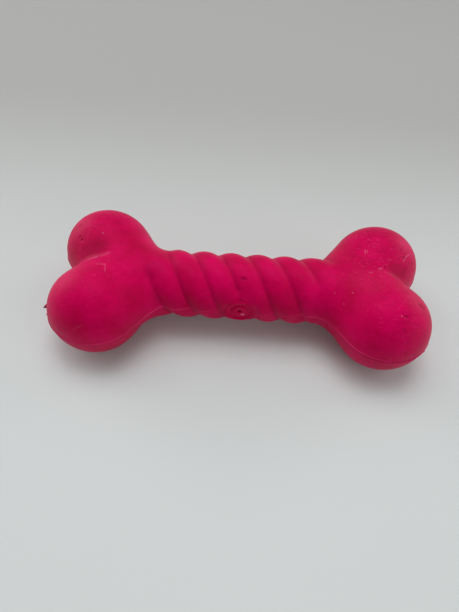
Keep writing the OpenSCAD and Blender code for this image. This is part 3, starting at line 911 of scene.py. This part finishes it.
@dataclass(frozen=True)
class MouldedRubber:
    """Natural rubber pressed in a steel mould, coloured right through: matt, with a faint pink glint.

    Its ranges are the levels of a noise between which a tone, a streak or a fleck comes up. Its streaks lie
    at an angle in radians.
    """

    deep: str = "#B2003E"
    bright: str = "#CF0054"
    # Pale tone for scuffed streaks and tears, and for the painted highlights among the marks.
    bloom_and_highlight: str = "#DC6A92"
    # Dark tone for flecks, and for painted shade in the grooves and among the marks.
    shade: str = "#6A0022"
    glint: str = "#FF7AA8"
    roughness: float = 0.45
    specular: float = 0.12
    ior: float = 1.5
    mottle_size: float = 16 * MM
    mottle_range: tuple[float, float] = (0.35, 0.65)
    # A blasted mould's grain is about 0.1 mm wide, too fine to show here, so it is drawn coarser.
    grain_size: float = 0.55 * MM
    grain_depth: float = 0.018 * MM
    flow_size: float = 5 * MM
    flow_depth: float = 0.05 * MM
    streak_size: float = 0.9 * MM
    streak_range: tuple[float, float] = (0.6, 0.74)
    streak_turn: float = 0.5
    streak_stretch: tuple[float, float, float] = (0.5, 1.3, 1.0)
    streaks: float = 0.24
    fleck_size: float = 1.3 * MM
    fleck_range: tuple[float, float] = (0.52, 0.66)
    flecks: float = 0.24
    sound_share: float = 0.2
    ragged_size: float = 0.7 * MM
    ragged_reach: float = 0.7 * MM
    # How dark the painted shade in the grooves is.
    groove_shade_strength: float = 0.26
    marks: tuple[Mark, ...] = MARKS
    name: str = "Moulded natural rubber"

    def worn_and_shaded(self, tree: Tree, place: Socket, colour: Socket) -> Socket:
        """Adds pale streaks and dark flecks, most where the rubber is scuffed, and painted shade in the
        grooves.

        Args:
            tree: The material's tree.
            place: The place on the bone.
            colour: The colour without the wear.

        Returns:
            The colour with the wear.
        """
        scuff = add(tree, "ShaderNodeAttribute", attribute_name=SCUFF).node.outputs["Fac"]
        turn = {"Vector": place, "Rotation": (0.0, 0.0, self.streak_turn), "Scale": self.streak_stretch}
        stretched = add(tree, "ShaderNodeMapping", turn)
        feeds = {"Vector": stretched, "Scale": 1 / self.streak_size, "Detail": 4.0}
        streak = add(tree, "ShaderNodeTexNoise", feeds)
        streak = add(tree, "ShaderNodeMapRange", (streak, *self.streak_range, 0.0, 1.0))
        pale = add(tree, MATH, (streak, scuff), operation="MULTIPLY")
        pale = add(tree, MATH, (pale, self.streaks), operation="MULTIPLY")
        feeds = {"Vector": place, "Scale": 1 / self.fleck_size, "Detail": 3.0}
        fleck = add(tree, "ShaderNodeTexNoise", feeds)
        fleck = add(tree, "ShaderNodeMapRange", (fleck, *self.fleck_range, 0.0, self.flecks))
        spread = add(tree, MATH, (scuff, 1 - self.sound_share, self.sound_share), operation="MULTIPLY_ADD")
        fleck = add(tree, MATH, (fleck, spread), operation="MULTIPLY")
        # Painted shade along the bottom of each groove, read from the mesh's groove attribute.
        groove = add(tree, "ShaderNodeAttribute", attribute_name=GROOVE_SHADE).node.outputs["Fac"]
        groove_shade = add(tree, MATH, (groove, self.groove_shade_strength), operation="MULTIPLY")
        for amount, tone in ((pale, self.bloom_and_highlight), (fleck, self.shade), (groove_shade, self.shade)):
            colour = add(tree, "ShaderNodeMix", (amount, colour, linear(tone)), data_type="RGBA")
        return colour

    def marked(self, tree: Tree, place: Socket, colour: Socket) -> tuple[Socket, Feed]:
        """Adds the marks one by one: torn ones and painted highlights are pale, sunk ones and painted shade
        dark.

        Args:
            tree: The material's tree.
            place: The place on the bone.
            colour: The colour without the marks.

        Returns:
            The colour with the marks, and how far they lift the skin.
        """
        group = mark_reach()
        feeds = {"Vector": place, "Scale": 1 / self.ragged_size, "Detail": 1.0}
        ragged = add(tree, "ShaderNodeTexNoise", feeds).node.outputs["Color"]
        ragged = add(tree, VECTOR_MATH, (ragged, (0.5, 0.5, 0.5)), operation="SUBTRACT")
        place = add(tree, VECTOR_MATH, (ragged, (self.ragged_reach,) * 3, place), operation="MULTIPLY_ADD")
        lift: Feed = 0.0
        for mark in self.marks:
            share = mark.share(tree, place, group)
            amount = add(tree, MATH, (share, abs(mark.tone)), operation="MULTIPLY")
            # Pale marks take the pale tone and dark marks the dark tone; among them are painted highlights
            # and painted shade.
            tone = linear(self.bloom_and_highlight if mark.tone > 0 else self.shade)
            colour = add(tree, "ShaderNodeMix", (amount, colour, tone), data_type="RGBA")
            lift = add(tree, MATH, (share, -MM * mark.sink, lift), operation="MULTIPLY_ADD")
        return colour, lift

    def material(self) -> bpy.types.Material:
        """Builds the material: slow changes of tone, wear and marks, painted shade in the grooves, and the
        unevenness of flow and mould.

        Returns:
            The material.
        """
        material, shader = new_material(
            self.name, Roughness=self.roughness, IOR=self.ior, Specular_IOR_Level=self.specular,
            Specular_Tint=linear(self.glint))
        tree = material.node_tree
        place = add(tree, "ShaderNodeTexCoord").node.outputs["Object"]
        feeds = {"Vector": place, "Scale": 1 / self.mottle_size, "Detail": 5.0, "Roughness": 0.6}
        slow = add(tree, "ShaderNodeTexNoise", feeds)
        tone = add(tree, "ShaderNodeMapRange", (slow, *self.mottle_range, 0.0, 1.0))
        colour = add(tree, "ShaderNodeMix", (tone, linear(self.deep), linear(self.bright)), data_type="RGBA")
        colour, lift = self.marked(tree, place, self.worn_and_shaded(tree, place, colour))
        tree.links.new(colour, shader.inputs["Base Color"])
        bump = add(tree, "ShaderNodeBump", {"Strength": 1.0, "Distance": 1.0, "Height": lift})
        for size, depth in ((self.flow_size, self.flow_depth), (self.grain_size, self.grain_depth)):
            rise = add(tree, "ShaderNodeTexNoise", {"Vector": place, "Scale": 1 / size, "Detail": 2.0})
            feeds = {"Strength": 1.0, "Distance": depth, "Height": rise, "Normal": bump}
            bump = add(tree, "ShaderNodeBump", feeds)
        tree.links.new(bump, shader.inputs["Normal"])
        return material


# The flash is paler than the rubber behind it, a painted highlight along the seam.
FLASH_RUBBER = MouldedRubber(deep="#BE2054", bright="#CC2C62", marks=(), name="Thin flash of natural rubber")


@dataclass(frozen=True)
class MouldedPolyethylene:
    """Injection-moulded low-density polyethylene, pigmented like the rubber: waxy, and a little glossier."""

    colour: str = "#BE0044"
    # Pale tone of the painted highlight below the air hole.
    glint_tone: str = "#E4709A"
    glint: str = "#FF8CB4"
    roughness_range: tuple[float, float] = (0.15, 0.26)
    specular: float = 0.06
    ior: float = 1.51
    # A painted highlight just below the air hole.
    painted_glint: Mark = Mark((0.9, -12.9, 16.5), 0.55, 0.0, 1.0, (1.9, -12.9, 16.5))
    grain_size: float = 0.9 * MM
    grain_depth: float = 0.01 * MM

    def material(self) -> bpy.types.Material:
        """Builds the material: a faint waxy unevenness, and one painted highlight just below the air hole.

        Returns:
            The material.
        """
        material, shader = new_material(
            "Moulded polyethylene", IOR=self.ior, Specular_IOR_Level=self.specular,
            Specular_Tint=linear(self.glint))
        tree = material.node_tree
        place = add(tree, "ShaderNodeTexCoord").node.outputs["Object"]
        feeds = {"Vector": place, "Scale": 1 / self.grain_size, "Detail": 2.0}
        grain = add(tree, "ShaderNodeTexNoise", feeds)
        rough = add(tree, "ShaderNodeMapRange", (grain, *GRAIN_RANGE, *self.roughness_range))
        tree.links.new(rough, shader.inputs["Roughness"])
        # The painted highlight, mixed into the plastic's colour.
        pressed = self.painted_glint.share(tree, place, mark_reach())
        tones = linear(self.colour), linear(self.glint_tone)
        colour = add(tree, "ShaderNodeMix", (pressed, *tones), data_type="RGBA")
        tree.links.new(colour, shader.inputs["Base Color"])
        feeds = {"Strength": 1.0, "Distance": self.grain_depth, "Height": grain}
        tree.links.new(add(tree, "ShaderNodeBump", feeds), shader.inputs["Normal"])
        return material


@dataclass(frozen=True)
class PolyesterFilm:
    """Milky polyester strip, cut from rolled film: smooth, slightly see-through, faintly lined lengthwise."""

    colour: str = "#E6E2D6"
    roughness_range: tuple[float, float] = (0.16, 0.3)
    clearness: float = 0.25
    ior: float = 1.57
    # A roll leaves lines a few hundredths of a millimetre apart, so they are drawn coarser, to show.
    line_size: float = 0.3 * MM
    line_stretch: float = 0.05

    def material(self) -> bpy.types.Material:
        """Builds the material: pale and glossy, with rolling lines along the strip.

        Returns:
            The material.
        """
        material, shader = new_material(
            "Milky polyester film", Base_Color=linear(self.colour), IOR=self.ior,
            Transmission_Weight=self.clearness)
        tree = material.node_tree
        place = add(tree, "ShaderNodeTexCoord").node.outputs["Object"]
        drawn = add(tree, "ShaderNodeMapping", {"Vector": place, "Scale": (1.0, self.line_stretch, 1.0)})
        feeds = {"Vector": drawn, "Scale": 1 / self.line_size, "Detail": 2.0}
        lines = add(tree, "ShaderNodeTexNoise", feeds)
        rough = add(tree, "ShaderNodeMapRange", (lines, *GRAIN_RANGE, *self.roughness_range))
        tree.links.new(rough, shader.inputs["Roughness"])
        return material


@dataclass(frozen=True)
class PaleBoard:
    """Matt white-painted board that the bone lies on, with painted shade that greys it softly towards its far
    side.
    """

    near_colour: str = "#CFD3D3"
    far_colour: str = "#ABABA9"
    near_edge: float = -40 * MM
    far_edge: float = 190 * MM
    cloud_size: float = 250 * MM
    cloud_tone: float = 0.985
    roughness: float = 0.85
    specular: float = 0.15

    def material(self) -> bpy.types.Material:
        """Builds the material: matt paint with a barely visible unevenness, and painted shade towards its far
        side.

        Returns:
            The material.
        """
        material, shader = new_material(
            "Matt painted board", Roughness=self.roughness, Specular_IOR_Level=self.specular)
        tree = material.node_tree
        place = add(tree, "ShaderNodeTexCoord").node.outputs["Object"]
        # Painted shade: the board darkens from its near edge to its far edge.
        back = add(tree, "ShaderNodeSeparateXYZ", (place,)).node.outputs["Y"]
        edges = (back, self.near_edge, self.far_edge)
        share = add(tree, "ShaderNodeMapRange", edges, interpolation_type="SMOOTHSTEP")
        tones = linear(self.near_colour), linear(self.far_colour)
        colour = add(tree, "ShaderNodeMix", (share, *tones), data_type="RGBA")
        feeds = {"Vector": place, "Scale": 1 / self.cloud_size, "Detail": 2.0}
        cloud = add(tree, "ShaderNodeTexNoise", feeds)
        tone = add(tree, "ShaderNodeMapRange", (cloud, *GRAIN_RANGE, self.cloud_tone, 1.0))
        colour = add(tree, "ShaderNodeMix", (1.0, colour, tone), data_type="RGBA", blend_type="MULTIPLY")
        tree.links.new(colour, shader.inputs["Base Color"])
        return material


@dataclass(frozen=True)
class Dent:
    """A small round dent or tear that chewing left on top of the bone, seen from above, in mm."""

    x: float
    y: float
    radius: float
    depth: float


@dataclass(frozen=True)
class Scuff:
    """A patch of rubber that chewing has roughened, seen from above, with its place and radius in mm."""

    x: float
    y: float
    radius: float
    strength: float


@dataclass
class RubberBone:
    """The two moulded halves of the bone, with the squeaker's seat cut in both.

    Faces that meet at more than the sharp angle, in degrees, are shaded as an edge.
    """

    form: BoneForm
    trees: SkinTrees
    material: bpy.types.Material
    seat: list[tuple[float, float]]
    seat_face: float
    pad_radius: float = 6 * MM
    pad_shoulder: float = 3.2 * MM
    pad_rise: float = 0.5 * MM
    groove_width: float = 0.55 * MM
    groove_tail: float = 1.6 * MM
    skin_steps: int = 160
    wall_steps: int = 12
    rings_per_rib: int = 26
    cap_rings: int = 140
    evenness: float = 0.3
    seat_steps: int = 96
    dent_curve: float = 1.5
    lip_rise_share: float = 0.25
    lip_reach_share: float = 1.15
    lip_width_share: float = 0.25
    even_scuff: float = 0.12
    sharp_angle: float = 65.0
    dents: tuple[Dent, ...] = (
        Dent(0.9, -5.7, 1.3, 0.5), Dent(-66.7, 14.3, 0.9, 0.45), Dent(-65.7, 9.1, 1.0, 0.45),
        Dent(-64.5, 7.5, 1.1, 0.6), Dent(64.9, 8.6, 1.3, 0.7), Dent(53.8, 1.3, 1.1, 0.35),
        Dent(49.0, 9.6, 0.8, 0.3), Dent(59.4, -22.7, 1.2, 0.7), Dent(58.9, -26.9, 1.1, 0.35),
        Dent(66.6, -16.7, 0.9, 0.4),
    )
    scuffs: tuple[Scuff, ...] = (
        Scuff(62.0, 12.0, 12.0, 1.0), Scuff(62.0, -18.0, 13.0, 0.5), Scuff(50.0, 2.0, 10.0, 0.7),
        Scuff(-64.0, 12.0, 8.0, 0.8), Scuff(-54.0, -9.0, 8.0, 0.5), Scuff(51.0, 23.0, 11.0, 0.7),
        Scuff(-53.0, 21.0, 9.0, 0.45),
    )

    def inputs(self) -> dict[str, Feed]:
        """Works out the values that the trees share, at full detail.

        Returns:
            Values by input name.
        """
        coarser = 1
        step = self.form.rib_pitch / (self.rings_per_rib // coarser)
        caps = self.cap_rings // coarser
        return {
            **self.form.values(), "Ring Step": step, "Cap Rings": float(caps), "Wall": self.form.wall,
            "Rings": math.ceil(self.form.fan_x / step) + caps, "Skin Steps": self.skin_steps // coarser,
            "Wall Steps": self.wall_steps, "Evenness": self.evenness, "Material": self.material,
        }

    def build(self) -> None:
        """Makes both halves and ties them to the bone's body."""
        tree = self.trees.build_half()
        cutter = placed("seat cutter", turned("seat cutter", self.seat, self.form.seam_z, self.seat_steps))
        cutter.data.materials.append(self.material)
        for half in Half:
            mesh = grown(tree, half.node, {**self.inputs(), "Side": float(half.value)})
            self.flatten(mesh)
            if half is Half.UPPER:
                self.dent(mesh)
            self.scuff(mesh)
            self.paint_groove_shade(mesh)
            shell = placed(half.node + ".rubber", mesh)
            cut = shell.modifiers.new("seat", "BOOLEAN")
            cut.operation, cut.solver, cut.object = "DIFFERENCE", "EXACT", cutter
            shell.data = evaluated(shell, half.node + ".rubber")
            shell.modifiers.clear()
            shell.data.set_sharp_from_angle(angle=math.radians(self.sharp_angle))
            keep(shell, Body.BONE, Slot.RUBBER, half.node)
        bpy.data.objects.remove(cutter)

    def flatten(self, mesh: bpy.types.Mesh) -> None:
        """Fills the grooves round the squeaker to a low pad, level with its face, that the ribs run up to.

        Args:
            mesh: Either half.
        """
        least_front = 0.5
        points = points_of(mesh)
        shaft = self.form.shaft_diameter / 2
        up = points[:, 2] - self.form.seam_z
        radius = np.hypot(points[:, 1], up)
        away = np.hypot(points[:, 0], up)
        share = np.clip((self.pad_radius + self.pad_shoulder - away) / self.pad_shoulder, 0, 1)
        share = share ** 2 * (3 - 2 * share)
        front = -points[:, 1] / np.maximum(radius, MM)
        level = np.minimum(self.seat_face / np.maximum(front, least_front), shaft + self.pad_rise)
        share *= (front > least_front) & (radius > shaft - self.form.wall / 2)
        grown_by = 1 + share * (level / np.maximum(radius, MM) - 1)
        points[:, 1] *= grown_by
        points[:, 2] = self.form.seam_z + up * grown_by
        move_points(mesh, points)

    def dent(self, mesh: bpy.types.Mesh) -> None:
        """Presses the dents into the top of a half, each with a slightly raised lip.

        Args:
            mesh: The upper half.
        """
        least_up = 0.05
        points, normals = points_of(mesh), points_of(mesh, "normal")
        top = normals[:, 2] > least_up
        moved = points.copy()
        for dent in self.dents:
            flat = np.hypot(points[:, 0] - MM * dent.x, points[:, 1] - MM * dent.y)
            centre = points[np.argmin(np.where(top, flat, np.inf))]
            away = np.linalg.norm(points - centre, axis=1) / (MM * dent.radius)
            bowl = -np.clip(1 - away ** 2, 0, 1) ** self.dent_curve
            lip = self.lip_rise_share * np.exp(-((away - self.lip_reach_share) / self.lip_width_share) ** 2)
            moved += np.where(top, MM * dent.depth * (bowl + lip), 0)[:, None] * normals
        move_points(mesh, moved)

    def scuff(self, mesh: bpy.types.Mesh) -> None:
        """Writes how scuffed the rubber is at each point, for its material.

        Args:
            mesh: Either half.
        """
        points = points_of(mesh)
        amounts = np.full(len(points), self.even_scuff)
        for patch in self.scuffs:
            away = np.hypot(points[:, 0] - MM * patch.x, points[:, 1] - MM * patch.y) / (MM * patch.radius)
            amounts += patch.strength * np.exp(-away ** 2) * (points[:, 2] > self.form.seam_z)
        write_amounts(mesh, SCUFF, np.clip(amounts, 0, 1))

    def paint_groove_shade(self, mesh: bpy.types.Mesh) -> None:
        """Writes how near each point is to the bottom of a groove, where painted shade darkens the rubber,
        wider on the groove's +X side.

        Args:
            mesh: Either half.
        """
        form = self.form
        x, y, z = points_of(mesh).T
        angle = np.arctan2(z - form.seam_z, -y)
        ribs = (x + form.rib_lead * (angle / math.tau - TOP_TURN)) / form.rib_pitch
        away = (ribs % 1 - 0.5) * form.rib_pitch
        ended = np.abs(x + form.rib_skew * np.cos(angle)) - form.rib_full_length / 2
        width = np.where(away > 0, self.groove_tail, self.groove_width)
        # Painted shade, darkest at a groove's bottom and fading with the ribs towards their ends.
        amounts = np.exp(-(away / width) ** 2) * np.clip(1 - ended / form.rib_fade_length, 0, 1)
        write_amounts(mesh, GROOVE_SHADE, amounts)


@dataclass(frozen=True)
class Nib:
    """A torn scrap of flash on a knob's seam, which grows from its start to its end and breaks off there.

    The knob is given by its sides of the bone, the start and end in degrees round the knob from +X, and the
    droop in degrees below the level.
    """

    side_x: int
    side_y: int
    start: float
    end: float
    proud: float
    droop: float = 5.0


@dataclass
class SeamFlash:
    """The thin bead of flash along the seam, its torn scraps, and a second bead where the mould shifted."""

    bone: RubberBone
    material: bpy.types.Material
    proud: float = 0.3 * MM
    half_height: float = 0.45 * MM
    spacing: float = 0.35 * MM
    unevenness: float = 1.1
    wave_length: float = 7 * MM
    trimmed_length: float = 32 * MM
    trimmed_share: float = 0.2
    end_share: float = 0.1
    seed: float = 3.0
    points: int = 1600
    step_height: float = 1.2 * MM
    step_start: float = 34 * MM
    step_end: float = 62 * MM
    nib_steps: int = 14
    nib_root: float = 0.5 * MM
    nib_thickness: float = 0.5 * MM
    nib_tip_share: float = 0.4
    nib_curve: float = 1.3
    nibs: tuple[Nib, ...] = (
        Nib(-1, -1, 160.0, 183.5, 2.3 * MM), Nib(-1, -1, 188.0, 195.0, 0.8 * MM),
        Nib(1, -1, -46.0, -38.0, 0.6 * MM),
    )

    def build(self) -> None:
        """Makes the beads and the scraps and ties them to the bone's body."""
        tree = self.bone.trees.build_flash()
        form = self.bone.form
        whole = Vector((form.length, form.width, form.height))
        self.bead("seam_flash", tree, -whole, whole, 0.0)
        low = Vector((self.step_start, -form.width, 0.0))
        high = Vector((self.step_end, 0.0, form.height))
        self.bead("seam_flash.step", tree, low, high, self.step_height)
        for i, nib in enumerate(self.nibs):
            keep(placed(f"seam_flash.nib_{i}", self.nib(nib)), Body.BONE, Slot.RUBBER)

    def bead(self, name: str, tree: Tree, low: Vector, high: Vector, lift: float) -> None:
        """Makes one bead along the seam.

        Args:
            name: The piece's name.
            tree: The tree that makes beads.
            low: Low corner of the box that holds the bead.
            high: High corner of that box.
            lift: How far above the seam it lies.
        """
        inputs = self.bone.inputs()
        values = {
            **inputs, "Material": self.material, "Points": self.points, "Spacing": self.spacing,
            "Proud": self.proud, "Half Height": self.half_height, "Unevenness": self.unevenness,
            "Wave Length": self.wave_length, "Seed": self.seed, "Trimmed Length": self.trimmed_length,
            "Trimmed Share": self.trimmed_share, "End Share": self.end_share,
            "Hole Radius": max(radius for radius, _ in self.bone.seat),
            "Low Corner": low, "High Corner": high, "Seam Height": inputs["Seam Height"] + lift,
        }
        keep(placed(name, grown(tree, name, values)), Body.BONE, Slot.RUBBER)

    def nib(self, nib: Nib) -> bpy.types.Mesh:
        """Makes one scrap: a thin tongue along the seam, thickest at its root.

        Args:
            nib: Where the scrap is and how far it stands out.

        Returns:
            A closed mesh with its faces outward.
        """
        form = self.bone.form
        x, y, _ = form.knob_centre
        half_x, half_y = form.knob_length / 2, form.knob_width / 2
        droop = math.radians(nib.droop)
        up = Vector((0.0, 0.0, 1.0))
        rise = self.nib_thickness / 2 * up
        tip_rise = self.nib_tip_share * rise
        shape = bmesh.new()
        rings = []
        for i in range(self.nib_steps + 1):
            share = i / self.nib_steps
            angle = math.radians(nib.start + share * (nib.end - nib.start))
            across, along = math.cos(angle), math.sin(angle)
            out = Vector((across / half_x, along / half_y, 0.0)).normalized()
            foot = Vector((nib.side_x * x + half_x * across, nib.side_y * y + half_y * along, form.seam_z))
            root = foot - self.nib_root * out
            away = math.cos(droop) * out - math.sin(droop) * up
            tip = foot + nib.proud * share ** self.nib_curve * away
            corners = (root + rise, tip + tip_rise, tip - tip_rise, root - rise)
            rings.append([shape.verts.new(corner) for corner in corners])
        for ring, following in zip(rings, rings[1:]):
            for k in range(len(ring)):
                j = (k + 1) % len(ring)
                shape.faces.new((ring[k], ring[j], following[j], following[k]))
        shape.faces.new(rings[0])
        shape.faces.new(rings[-1])
        bmesh.ops.recalc_face_normals(shape, faces=shape.faces)
        mesh = bpy.data.meshes.new("nib")
        shape.to_mesh(mesh)
        shape.free()
        mesh.materials.append(self.bone.material)
        return mesh


@dataclass
class Squeaker:
    """The turned polyethylene squeaker in its seat, with the reed's clamp and the reed kept as packed."""

    plastic: bpy.types.Material
    film: bpy.types.Material
    rim_width: float = 1 * MM
    boss_radius: float = 3.1 * MM
    recess: float = 0.4 * MM
    face_thickness: float = 2 * MM
    grip_radius: float = 4.7 * MM
    snap_radius: float = 5.5 * MM
    snap_thickness: float = 1 * MM
    tube_radius: float = 3.8 * MM
    tube_length: float = 9 * MM
    air_radius: float = 0.7 * MM
    gap: float = 0.05 * MM
    edge: float = 0.28 * MM
    steps: int = 128
    overrun: float = 4 * MM
    height: float = field(init=False)
    face_radius: float = field(init=False)
    face_out: float = field(init=False)
    face_back: float = field(init=False)
    tube_end: float = field(init=False)
    snap_back: float = field(init=False)
    lip_back: float = field(init=False)
    pocket_radius: float = field(init=False)
    pocket_top: float = field(init=False)

    def __post_init__(self) -> None:
        """Reads the squeaker's place from the frame, as distances from the shaft's axis."""
        low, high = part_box("squeaker_body")
        trough_low, trough_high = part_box("reed_trough")
        self.height = (low.z + high.z) / 2
        self.face_radius = (high.x - low.x) / 2
        self.face_out, self.tube_end = -low.y, -high.y
        self.snap_back = self.tube_end + self.tube_length
        self.lip_back = self.snap_back + self.snap_thickness
        self.face_back = self.face_out - self.face_thickness
        self.pocket_radius = (trough_high.x - trough_low.x) / 2 + self.gap
        self.pocket_top = -trough_low.y + self.gap

    def seat(self) -> list[tuple[float, float]]:
        """Draws the outline of the stepped hole in the rubber.

        Returns:
            Points as radius and distance from the shaft's axis.
        """
        gap = self.gap
        return [
            (0.0, 0.0), (self.snap_radius + gap, 0.0), (self.snap_radius + gap, self.lip_back + gap),
            (self.grip_radius + gap, self.lip_back + gap), (self.grip_radius + gap, self.face_back - gap),
            (self.face_radius + gap, self.face_back - gap),
            (self.face_radius + gap, self.face_out + self.overrun), (0.0, self.face_out + self.overrun),
        ]

    def outline(self) -> list[tuple[float, float]]:
        """Draws the outline of the squeaker's cut wall, rounded at its corners.

        Returns:
            Points as radius and distance from the shaft's axis.
        """
        inside = self.face_radius - self.rim_width
        floor = self.face_out - self.recess
        corners = [
            (self.tube_radius, self.tube_end), (self.tube_radius, self.snap_back),
            (self.snap_radius, self.snap_back), (self.snap_radius, self.lip_back),
            (self.grip_radius, self.lip_back), (self.grip_radius, self.face_back),
            (self.face_radius, self.face_back), (self.face_radius, self.face_out), (inside, self.face_out),
            (inside, floor), (self.boss_radius, floor), (self.boss_radius, self.face_out),
            (self.air_radius, self.face_out), (self.air_radius, self.pocket_top),
            (self.pocket_radius, self.pocket_top), (self.pocket_radius, self.tube_end),
        ]
        return rounded(corners, self.edge)

    def build(self) -> None:
        """Makes the squeaker's body and dresses the reed and its clamp."""
        mesh = turned("squeaker", self.outline(), self.height, self.steps)
        mesh.materials.append(self.plastic)
        keep(placed("squeaker_body.plastic", mesh), Body.BONE, Slot.PLASTIC, "squeaker_body")
        dress = {"reed_trough": self.plastic, "reed_wedge": self.plastic, "reed": self.film}
        for node, material in dress.items():
            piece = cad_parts[node]
            piece.data.materials.clear()
            piece.data.materials.append(material)
            LOG.info("%s: dressed in %s", node, material.name)


@dataclass(frozen=True)
class SoftLamp:
    """A square soft lamp that looks at the middle of the bone, with its bearing and height in degrees."""

    name: str
    bearing: float
    height: float
    distance: float
    size: float
    power: float

    def build(self, middle: Vector) -> None:
        """Hangs the lamp.

        Args:
            middle: The point that it looks at.
        """
        light = bpy.data.lights.new(self.name, "AREA")
        light.shape, light.size, light.energy = "SQUARE", self.size, self.power
        lamp = bpy.data.objects.new(self.name, light)
        lamp.matrix_world = looking_at(middle, self.bearing, self.height, self.distance)
        bpy.context.scene.collection.objects.link(lamp)


@dataclass
class Studio:
    """A pale floor, soft lamps and a camera at the photograph's angle.

    The camera's angles are in degrees, its focal length in pixels and its sensor's width in mm.
    """

    seam_z: float
    board: PaleBoard = PaleBoard()
    floor_size: float = 4.0
    air: str = "#D8DAD9"
    air_strength: float = 0.54
    focal_pixels: float = 472.0
    image_height: int = 612
    sensor: float = 36.0
    near_clip: float = 10 * MM
    elevation: float = 52.72
    azimuth: float = -0.54
    roll: float = 3.98
    distance: float = 189.9 * MM
    aim: tuple[float, float] = (-4.08 * MM, -10.27 * MM)
    lamps: tuple[SoftLamp, ...] = (
        SoftLamp("overhead", 0.0, 90.0, 0.5, 0.25, 0.37),
        SoftLamp("behind", 180.0, 75.0, 1.2, 0.7, 4.3),
        SoftLamp("high left", 240.0, 58.0, 1.2, 0.7, 1.9),
        SoftLamp("low left", 240.0, 18.0, 1.2, 0.7, 3.6),
        SoftLamp("low right", 120.0, 18.0, 1.2, 0.7, 2.9),
        SoftLamp("window", 60.0, 18.0, 1.2, 0.7, 2.0),
    )

    def build(self) -> None:
        """Lays the floor, lights it and sets the camera."""
        scene = bpy.context.scene
        scene.view_settings.view_transform = "Standard"
        mesh = bpy.data.meshes.new("floor")
        half = self.floor_size / 2
        corners = [(-half, -half, 0), (half, -half, 0), (half, half, 0), (-half, half, 0)]
        mesh.from_pydata(corners, [], [tuple(range(len(corners)))])
        mesh.materials.append(self.board.material())
        placed("floor", mesh)
        world = bpy.data.worlds.new("air")
        scene.world = world
        world.use_nodes = True
        world.node_tree.nodes.clear()
        light = add(world.node_tree, "ShaderNodeBackground", (linear(self.air), self.air_strength))
        add(world.node_tree, "ShaderNodeOutputWorld", (light,))
        middle = Vector((0.0, 0.0, self.seam_z))
        for lamp in self.lamps:
            lamp.build(middle)
        scene.camera = self.camera()

    def camera(self) -> bpy.types.Object:
        """Makes the camera that looks down on the bone from its front.

        Returns:
            The camera.
        """
        data = bpy.data.cameras.new("camera")
        data.sensor_width = self.sensor
        data.lens = self.focal_pixels * self.sensor / self.image_height
        data.clip_start = self.near_clip
        camera = bpy.data.objects.new("camera", data)
        aim = Vector((*self.aim, self.seam_z))
        place = looking_at(aim, self.azimuth, self.elevation, self.distance)
        camera.matrix_world = place @ Matrix.Rotation(math.radians(self.roll), 4, "Z")
        bpy.context.scene.collection.objects.link(camera)
        return camera


def main() -> None:
    """Builds the sub-assemblies and the studio in order."""
    logging.basicConfig(level=logging.INFO, format="%(name)s: %(message)s")
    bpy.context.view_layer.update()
    form = BoneForm.from_frame()
    rubber = MouldedRubber().material()
    squeaker = Squeaker(plastic=MouldedPolyethylene().material(), film=PolyesterFilm().material())
    bone = RubberBone(form, SkinTrees(), rubber, squeaker.seat(), squeaker.face_out)
    bone.build()
    SeamFlash(bone, FLASH_RUBBER.material()).build()
    squeaker.build()
    Studio(form.seam_z).build()


if __name__ == "__main__":
    main()
